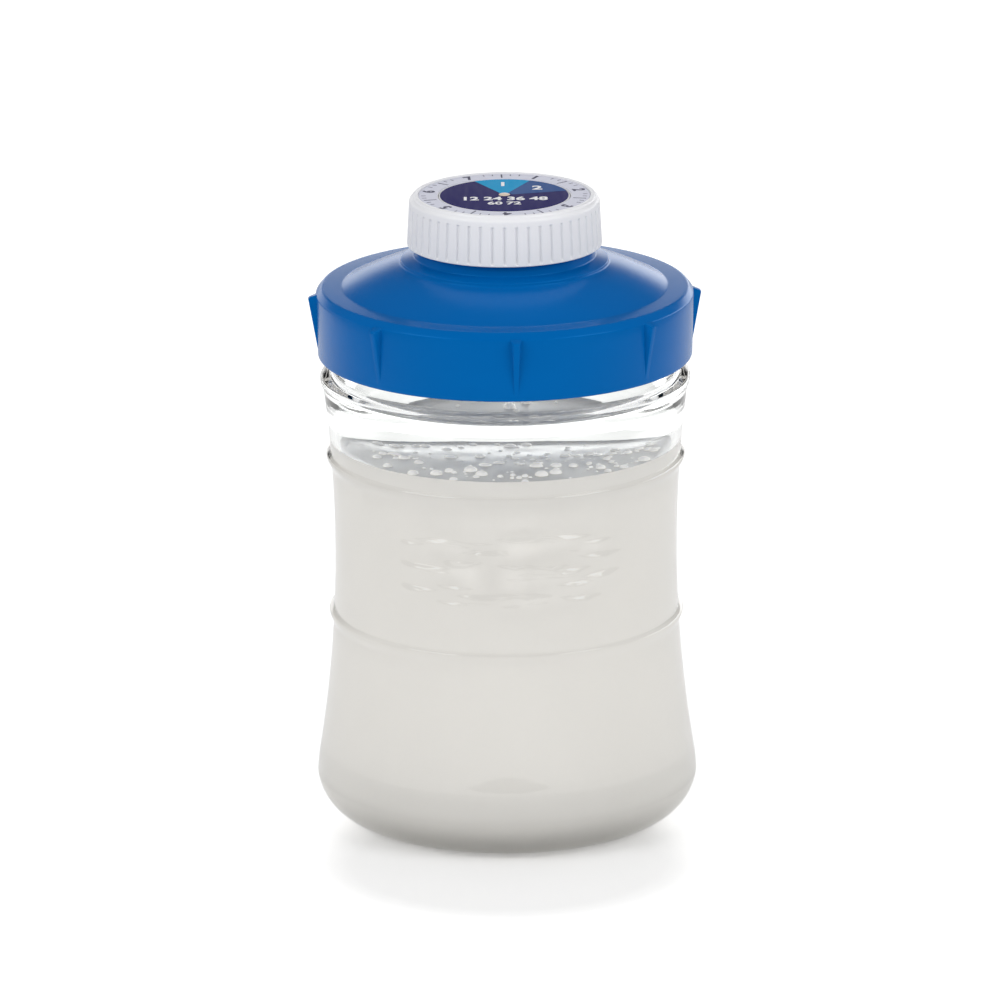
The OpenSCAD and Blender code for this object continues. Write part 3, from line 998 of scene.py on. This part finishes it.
class JAR_OT_lid(Operator):
    """Spins the lid's section, raises its screws, and adds the grip fins"""

    bl_idname = "jar.lid"
    bl_label = "Lid"

    def execute(self, context):
        lid = context.scene.lid_sizes
        glass = context.scene.glass_sizes
        piece = lathe("screw_lid", lid_outline(lid), 240, angle=32)
        self.raise_screws(piece, lid, glass)
        combine(piece, self.fins(lid), "UNION")
        shade(piece, 32)
        material = moulded_plastic("blue_plastic", lid.colour, 0.24, lid.sheen)
        dress(piece, "lid", "lid_shell", material, "lid_shell")
        return {"FINISHED"}

    def raise_screws(self, piece, lid, glass):
        """Lugs inside the skirt, one step below those of the glass, and the cap's thread."""
        behind = 10.0
        low_z = glass.lug_z - glass.lug_h - SCREW_GAP
        lugs = [(i * 360 / glass.lugs + behind, behind) for i in range(glass.lugs)]
        segments = [(s * 180 + k * 90, k * 90.0) for s in range(2) for k in range(3)]

        def moved(place):
            radius = math.hypot(place.x, place.y)
            if abs(radius - lid.skirt_in) < 0.05 * MM and place.z < lid.seat_z - 1 * MM:
                ridge = lug_height(place, lugs, LID_LUG_ARC, glass.lead, low_z, glass.lug_h)
                return put_out(place, -glass.lug_out * ridge)
            if abs(radius - lid.spout_r) < 0.05 * MM and place.z > lid.spout_z + 0.5 * MM:
                ridge = max(
                    lug_height(place, [one], THREAD_ARC, lid.lead, lid.thread_z, lid.thread_h)
                    for one in segments
                )
                return put_out(place, lid.thread_out * ridge)
            return None

        move_vertices(piece, moved)

    def fins(self, lid):
        """Gussets that stand out at the top and run out to nothing at the bottom."""
        root = lid.skirt_in + lid.skirt_wall + lid.draft
        top = lid.roof_z - lid.edge
        low = lid.skirt_z + 1.2 * MM
        side = -lid.fin_wall
        corners = [
            Vector((root - 1.4 * MM, side, top + 0.3 * MM)),
            Vector((root - 1.4 * MM, side, low)),
            Vector((root - lid.draft - 0.1 * MM, side, low)),
            Vector((root + lid.fin_out, side, top - 0.8 * MM)),
            Vector((root + lid.fin_out - 0.3 * MM, side, top - 0.4 * MM)),
            Vector((root - 0.2 * MM, side, top + 0.3 * MM)),
        ]
        fin = prism("fin", corners, Vector((0, 2 * lid.fin_wall, 0)))
        back = root - 2 * MM
        front = [
            Vector((back, -lid.fin_foot / 2, low - 1 * MM)),
            Vector((back, lid.fin_foot / 2, low - 1 * MM)),
            Vector((back, lid.fin_wall / 2, top + 1 * MM)),
            Vector((back, -lid.fin_wall / 2, top + 1 * MM)),
        ]
        combine(fin, prism("fin_front", front, Vector((lid.fin_out + 4 * MM, 0, 0))), "INTERSECT")

        def drafted(place):
            """Narrows the fin towards its crest."""
            out = (place.x - root) / lid.fin_out
            return Vector((place.x, place.y * (1.1 - 0.45 * out), place.z))

        move_vertices(fin, drafted)
        bevelled(fin, 0.2 * MM)
        return copied_round(fin, "fins", lid.fins, lid.fin_turn - math.pi / 2)


class JAR_OT_strainer(Operator):
    """Spins the strainer's dome and cuts its slots"""

    bl_idname = "jar.strainer"
    bl_label = "Strainer"

    def execute(self, context):
        lid = context.scene.lid_sizes
        rim_r = lid.bore_r + 1.7 * MM
        dome_r = lid.bore_r - 0.5 * MM
        wall_t = 1.4 * MM
        foot = lid.collar_z - 2.4 * MM
        rise = 7 * MM
        top = lid.collar_z - 0.02 * MM
        low = lid.collar_z - 5.4 * MM
        bead = 0.4 * MM
        outline = (
            [(rim_r, top), (rim_r, top - 3.1 * MM), (rim_r + bead, top - 3.4 * MM)]
            + [(rim_r + bead, top - 4.1 * MM), (rim_r, top - 4.4 * MM), (rim_r, low)]
            + [(rim_r - wall_t, low)]
            + arc(0, foot - 0.6 * wall_t, dome_r - wall_t, rise - 0.4 * wall_t, 0, 90, 14)
            + arc(0, foot, dome_r, rise, 90, 0, 16)
            + [(dome_r, top), (rim_r, top)]
        )
        piece = lathe("slotted_strainer", outline, 160, angle=40)
        cutters = []
        for number in range(lid.slots):
            near = 5 * MM if number % 2 == 0 else 9 * MM
            far = dome_r - wall_t
            corners = [
                Vector((x, y, foot - 1 * MM))
                for x, y in (
                    (near, -lid.slot_w / 2),
                    (far, -lid.slot_w / 2),
                    (far, lid.slot_w / 2),
                    (near, lid.slot_w / 2),
                )
            ]
            cutter = prism("slot", corners, Vector((0, 0, rise + 4 * MM)))
            cutter.data.transform(Matrix.Rotation(number * ROUND / lid.slots, 4, "Z"))
            cutters.append(cutter)
        combine(piece, join("slots", cutters), "DIFFERENCE")
        shade(piece, 32)
        material = moulded_plastic("strainer_plastic", lid.strainer_colour, 0.3, lid.sheen)
        dress(piece, "lid", "strainer", material, "strainer")
        return {"FINISHED"}


class JAR_OT_liner(Operator):
    """Lays the ring that seals the cap on the pouring neck"""

    bl_idname = "jar.liner"
    bl_label = "Cap liner"

    def execute(self, context):
        low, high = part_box("cap_liner")
        lid = context.scene.lid_sizes
        inner = lid.bore_r - 2.4 * MM
        piece = soft_ring("cap_liner_ring", inner, high.x, low.z, high.z, 0.25 * MM, 3, 120)
        material = silicone("liner_silicone", lid.seal_colour)
        dress(piece, "liner", "cap_liner", material, "cap_liner")
        return {"FINISHED"}


def cap_outline(cap, disc_r, rivet_r):
    low_r = cap.outer_r + cap.draft
    shoulder_z = cap.top_z - cap.shoulder_h
    pocket_r = disc_r + 0.25 * MM
    soft = 0.3 * MM
    return (
        [(cap.inner_r + soft, cap.low_z), (low_r - soft, cap.low_z)]
        + arc(low_r - soft, cap.low_z + soft, soft, soft, -60, 0, 3)
        + line((low_r, cap.low_z + 0.5 * MM), (cap.outer_r, shoulder_z), 26)
        + rounded(
            [
                (cap.outer_r, shoulder_z, 0),
                (cap.outer_r - 0.1 * MM, cap.top_z - 1.1 * MM, 0.7 * MM),
                (cap.outer_r - cap.shoulder_w, cap.top_z - 0.6 * MM, 0.12 * MM),
                (cap.outer_r - cap.shoulder_w - 0.2 * MM, cap.top_z, 0.25 * MM),
                (cap.tray_r, cap.top_z, 0.2 * MM),
                (cap.tray_r, cap.tray_z, 0),
            ]
        )
        + [(cap.tray_r, cap.tray_z), (pocket_r, cap.tray_z)]
        + [(pocket_r, cap.pocket_z), (rivet_r, cap.pocket_z)]
        + [(rivet_r, cap.deck_z)]
        + line((cap.inner_r, cap.deck_z), (cap.inner_r, cap.low_z + soft), 34)
        + [(cap.inner_r, cap.low_z + soft), (cap.inner_r + soft, cap.low_z)]
    )


class JAR_OT_cap(Operator):
    """Spins the cap's section, sinks its grip grooves and raises its thread"""

    bl_idname = "jar.cap"
    bl_label = "Cap"

    def execute(self, context):
        cap = context.scene.cap_sizes
        lid = context.scene.lid_sizes
        dial = context.scene.dial_sizes
        outline = cap_outline(cap, dial.disc_r, dial.rivet_r)
        piece = lathe("grooved_cap", outline, cap.grooves * 13, angle=32)
        groove_low = cap.low_z + 0.4 * MM
        groove_high = cap.top_z - 2.7 * MM
        groove_end = 0.5 * MM
        pitch = 360 / cap.grooves
        start_in = 60.0
        low_z = lid.thread_z - lid.thread_h - SCREW_GAP
        segments = [
            (s * 180 + start_in + k * 90, start_in + k * 90) for s in range(2) for k in range(2)
        ]

        def gathered(place):
            """Crowds the columns towards the middle of each groove."""
            turned = turned_from(place, 0)
            off = 2 * (turned % pitch) / pitch - 1
            moved_off = math.copysign(abs(off) ** 1.9, off)
            turn_by = math.radians((moved_off - off) * pitch / 2)
            return Matrix.Rotation(turn_by, 3, "Z") @ place

        def moved(place):
            radius = math.hypot(place.x, place.y)
            if radius > cap.outer_r - 0.2 * MM and groove_low < place.z < groove_high:
                off = abs(turned_from(place, 0) % pitch - pitch / 2)
                across = 1 - (math.radians(off) * radius / cap.groove_half) ** 2
                ends = min(place.z - groove_low, groove_high - place.z) / groove_end
                if across > 0:
                    return put_out(place, -cap.groove_deep * across**0.35 * smooth(ends))
            if abs(radius - cap.inner_r) < 0.05 * MM and place.z < cap.deck_z - 0.5 * MM:
                ridge = max(
                    lug_height(place, [one], THREAD_ARC, lid.lead, low_z, lid.thread_h)
                    for one in segments
                )
                return put_out(place, -lid.thread_out * ridge)
            return None

        move_vertices(piece, gathered)
        move_vertices(piece, moved)
        shade(piece, 32)
        material = moulded_plastic("white_plastic", cap.colour, 0.34)
        dress(piece, "cap", "cap_shell", material, "cap_shell")
        return {"FINISHED"}


def flat_ring(name, inner, outer, low_z, high_z):
    """A flat ring with a slightly broken edge."""
    edge = min(0.05 * MM, (high_z - low_z) / 3)
    outline = [
        (inner, low_z),
        (outer, low_z),
        (outer, high_z - edge),
        (outer - edge, high_z),
        (inner + edge, high_z),
        (inner, high_z - edge),
        (inner, low_z),
    ]
    return lathe(name, outline, 160, angle=25)


def sector(name, inner, outer, start, sweep, low_z, thick, steps):
    """A flat slice of a ring."""
    places = []
    for radius, order in ((outer, range(steps + 1)), (inner, range(steps, -1, -1))):
        places += [point(radius, low_z, start + sweep * i / steps) for i in order]
    return prism(name, places, Vector((0, 0, thick)))


def numeral(words, size, radius, angle, low_z, upright=True):
    """A printed number on a ring, with its top outwards, or level and facing the front."""
    deselect()
    bpy.ops.object.text_add()
    writing = bpy.context.object
    writing.data.body = words
    writing.data.size = size
    writing.data.align_x = "CENTER"
    writing.data.align_y = "CENTER"
    writing.data.offset = 0.03 * size
    writing.data.resolution_u = 4
    writing.data.extrude = 0.02 * MM
    bpy.ops.object.convert(target="MESH")
    piece = bpy.context.object
    facing = angle - math.pi / 2 if upright else 0.0
    place = point(radius, low_z, angle)
    piece.data.transform(Matrix.Translation(place) @ Matrix.Rotation(facing, 4, "Z"))
    return piece


class JAR_OT_day_ring(Operator):
    """Lays the fixed ring of days, with a mark at each and a number between the marks"""

    bl_idname = "jar.day_ring"
    bl_label = "Day ring"

    def execute(self, context):
        cap = context.scene.cap_sizes
        dial = context.scene.dial_sizes
        inner = dial.disc_r + 0.5 * MM
        outer = cap.tray_r - 0.2 * MM
        low = cap.tray_z
        top = low + dial.label
        ring = flat_ring("day_ring_label", inner, outer, low, top)
        dress(ring, "cap", "day_ring", gloss_print("ring_ground", dial.ring_colour), "day_ring")
        step = ROUND / dial.days
        back = math.pi / 2 + dial.face_turn
        middle = (inner + outer) / 2
        margin = 0.7 * MM
        wide = math.radians(1.1)

        def dash(angle, start_r, sweep):
            low_z = top - 0.01 * MM
            start = angle - sweep / 2
            return sector("dash", start_r, outer - margin, start, sweep, low_z, 0.04 * MM, 2)

        marks = []
        for day in range(dial.days):
            angle = back - day * step
            marks.append(dash(angle, inner + margin, wide))
            between = angle - step / 2
            marks.append(numeral(str(day + 1), 4.6 * MM, middle, between, top + 0.02 * MM))
            for part in (1, 2, 6, 7):
                marks.append(dash(angle - step * part / 8, outer - 1.9 * MM, wide / 1.5))
        printed = join("day_marks", marks)
        dress(printed, "cap", "day_ring", gloss_print("ring_ink", dial.print_colour, 0.3))
        return {"FINISHED"}


class JAR_OT_dial(Operator):
    """Builds the turning disc, its printed face and the rivet that holds it"""

    bl_idname = "jar.dial"
    bl_label = "Dial"

    def execute(self, context):
        cap = context.scene.cap_sizes
        dial = context.scene.dial_sizes
        running = 0.05 * MM
        hole = dial.rivet_r + running
        disc = flat_ring("turning_disc", hole, dial.disc_r, cap.pocket_z + running, cap.tray_z)
        white = moulded_plastic("disc_plastic", dial.white_colour, 0.3)
        dress(disc, "dial", "dial_disc", white, "dial_disc")
        face_r = dial.disc_r - 0.3 * MM
        low = cap.tray_z
        top = low + dial.label
        ground = flat_ring("dial_face", hole, face_r, low, top - 0.04 * MM)
        dark = gloss_print("dial_ground", dial.ground_colour, 0.1)
        dress(ground, "dial", "dial_label", dark, "dial_label")
        step = ROUND / dial.days
        back = math.pi / 2 + dial.face_turn
        sectors = (
            ("first_sector", 0, dial.first_colour),
            ("second_sector", 1, dial.second_colour),
        )
        for name, place, ink in sectors:
            start = back - step / 2 - place * step
            piece = sector(
                name, dial.rivet_r + 1 * MM, face_r, start, step, top - 0.05 * MM, 0.03 * MM, 40
            )
            dress(piece, "dial", "dial_label", gloss_print(name + "_ink", ink, 0.1))
        ink_z = top - 0.01 * MM
        writing = [
            numeral(batch, 5.6 * MM, 11.6 * MM, angle, ink_z, False)
            for batch, angle in (("1", back), ("2", back - step))
        ]
        rows = ((("12", "24", "36", "48"), 4.9 * MM, -4.1 * MM), (("60", "72"), 4 * MM, -9 * MM))
        for hours, size, row in rows:
            for number, hour in enumerate(hours):
                along = 1.25 * size * (number - (len(hours) - 1) / 2)
                angle = math.atan2(row, along)
                writing.append(numeral(hour, size, math.hypot(row, along), angle, ink_z, False))
        printed = join("dial_numbers", writing)
        dress(printed, "dial", "dial_label", gloss_print("white_ink", dial.white_colour, 0.25))
        self.rivet(cap, dial)
        return {"FINISHED"}

    def rivet(self, cap, dial):
        shank = dial.rivet_r - 0.02 * MM
        seat = cap.tray_z + dial.label + 0.05 * MM
        foot_r = dial.rivet_r + 0.9 * MM
        foot_z = cap.deck_z - 0.7 * MM
        bevel = 0.4 * MM
        outline = (
            [(0, foot_z), (foot_r - bevel, foot_z), (foot_r, foot_z + bevel)]
            + [(foot_r, cap.deck_z), (shank, cap.deck_z), (shank, seat)]
            + arc(0, seat, dial.rivet_r + 0.4 * MM, 0.4 * MM, 0, 90, 10)
        )
        piece = lathe("centre_rivet", outline, 48)
        material = moulded_plastic("rivet_plastic", dial.rivet_colour, 0.3)
        dress(piece, "cap", "dial_rivet", material, "dial_rivet")


def area_lamp(name, place, aim, width, height, watts):
    deselect()
    bpy.ops.object.light_add(type="AREA", location=place)
    lamp = bpy.context.object
    lamp.name = name
    lamp.data.shape = "RECTANGLE"
    lamp.data.size = width
    lamp.data.size_y = height
    lamp.data.energy = watts
    lamp.rotation_euler = (Vector(aim) - Vector(place)).to_track_quat("-Z", "Y").to_euler()
    return lamp


class JAR_OT_studio(Operator):
    """Sets the floor, the lamps, the sky and the camera"""

    bl_idname = "jar.studio"
    bl_label = "Studio"

    def execute(self, context):
        studio = context.scene.studio_settings
        self.floor()
        self.sky(context.scene, studio)
        softboxes = {"left_softbox": (-0.96, -0.72, 0.9), "right_softbox": (0.98, -0.7, 0.9)}
        for name, place in softboxes.items():
            area_lamp(name, place, (0, 0, 0.12), 0.8, 0.6, studio.key)
        self.camera(context.scene, studio)
        return {"FINISHED"}

    def floor(self):
        """A white table top that keeps the jar's shadow close in front of it."""
        deselect()
        bpy.ops.mesh.primitive_plane_add(size=2)
        floor = named("floor")
        floor.data.transform(Matrix.Translation((0, 0.5, 0)) @ Matrix.Diagonal((0.5, 1.3, 1, 1)))
        paint = Paint("pale_floor")
        path = paint.node("ShaderNodeLightPath").outputs
        seen, glossy, through = (
            Value(paint, path[name])
            for name in ("Is Camera Ray", "Is Glossy Ray", "Is Transmission Ray")
        )
        spread = paint.place((1 / 0.056, 1 / 0.052, 1), (0, 0.95, 0))
        away = paint.value("ShaderNodeVectorMath", "Value", {"operation": "LENGTH"}, {0: spread})
        whiter = 0.06 + 0.4 * paint.between(away, 0.7, 1.15)
        grain = paint.noise(3, 2.0)
        paint.finish(
            Base_Color=paint.mix(grain, (0.9, 0.9, 0.9, 1), (0.915, 0.915, 0.915, 1)),
            Roughness=0.9,
            Specular_IOR_Level=0.0,
            Emission_Color=(1, 1, 1, 1),
            Emission_Strength=(seen + (glossy + through) * 0.3) * whiter,
        )
        floor.data.materials.append(paint.material)

    def sky(self, scene, studio):
        """Even light on the object. In gloss, it is a dark room with a low white backdrop
        behind and a low pale wall in front. To the eye and through glass it is white."""
        world = bpy.data.worlds.new("studio_sky")
        world.use_nodes = True
        nodes = Nodes(world.node_tree)
        path = nodes.node("ShaderNodeLightPath").outputs
        camera, glossy, through, lit = (
            Value(nodes, path[name])
            for name in ("Is Camera Ray", "Is Glossy Ray", "Is Transmission Ray", "Diffuse Depth")
        )
        direction = nodes.node("ShaderNodeTexCoord").outputs["Generated"]
        split = nodes.node("ShaderNodeSeparateXYZ", {}, {0: direction}).outputs
        across, ahead, up = (Value(nodes, split[axis]) for axis in "XYZ")
        band = nodes.between(up, -0.08, 0) * (1 - nodes.between(up, 0.19, 0.25))
        backdrop = nodes.between(ahead, -0.1, 0.35) * band * (2 + 1.6 * across)
        facing = (1 - nodes.between(ahead, -0.6, -0.2)) * nodes.between(up, 0.08, 0.16)
        low_wall = facing * (1 - nodes.between(up, 0.3, 0.45)) * 1.2
        mirrored = studio.room + (1 - studio.room) * (backdrop + low_wall)
        seen_through = 0.85 + 0.15 * nodes.between(ahead, -0.5, 0.2)
        direct = 1 - nodes.between(lit, 0.0, 1.0)
        clear = direct * (glossy * mirrored + through * seen_through)
        scattered = (1 - direct) * through * studio.sky_in_glass
        other = (1 - glossy) * (1 - through) * studio.sky
        strength = camera + (1 - camera) * (clear + scattered + other)
        background = world.node_tree.nodes["Background"]
        background.inputs["Color"].default_value = (1, 1, 1, 1)
        nodes.feed(background.inputs["Strength"], strength)
        scene.world = world

    def camera(self, scene, studio):
        deselect()
        tilt = math.pi / 2 - studio.tilt
        bpy.ops.object.camera_add(
            location=(0, -studio.distance, studio.height), rotation=(tilt, 0, 0)
        )
        camera = bpy.context.object
        camera.rotation_euler.rotate_axis("Z", studio.roll)
        camera.data.lens = studio.lens
        camera.data.sensor_width = 36
        camera.data.shift_x = studio.shift
        camera.data.clip_start = 0.05
        camera.data.clip_end = 50
        scene.camera = camera
        scene.view_settings.view_transform = "Standard"


PIECES = (
    JAR_OT_glass,
    JAR_OT_milk,
    JAR_OT_gasket,
    JAR_OT_lid,
    JAR_OT_strainer,
    JAR_OT_liner,
    JAR_OT_cap,
    JAR_OT_day_ring,
    JAR_OT_dial,
    JAR_OT_studio,
)

GROUPS = (
    ("glass_sizes", GlassSizes),
    ("milk_sizes", MilkSizes),
    ("lid_sizes", LidSizes),
    ("cap_sizes", CapSizes),
    ("dial_sizes", DialSizes),
    ("studio_settings", StudioSettings),
)


class JAR_PT_pieces(Panel):
    """Lists the jar's pieces"""

    bl_idname = "JAR_PT_pieces"
    bl_label = "Fermentation Jar"
    bl_space_type = "VIEW_3D"
    bl_region_type = "UI"
    bl_category = "Jar"

    def draw(self, context):
        for piece in PIECES:
            self.layout.operator(piece.bl_idname)


def register():
    for _, group in GROUPS:
        bpy.utils.register_class(group)
    for one in PIECES:
        bpy.utils.register_class(one)
    bpy.utils.register_class(JAR_PT_pieces)
    for name, group in GROUPS:
        setattr(bpy.types.Scene, name, PointerProperty(type=group))


def unregister():
    for name, _ in GROUPS:
        delattr(bpy.types.Scene, name)
    bpy.utils.unregister_class(JAR_PT_pieces)
    for one in reversed(PIECES):
        bpy.utils.unregister_class(one)
    for _, group in reversed(GROUPS):
        bpy.utils.unregister_class(group)


def main():
    register()
    bpy.ops.jar.glass()
    bpy.ops.jar.milk()
    bpy.ops.jar.gasket()
    bpy.ops.jar.lid()
    bpy.ops.jar.strainer()
    bpy.ops.jar.liner()
    bpy.ops.jar.cap()
    bpy.ops.jar.day_ring()
    bpy.ops.jar.dial()
    bpy.ops.jar.studio()


if __name__ == "__main__":
    main()
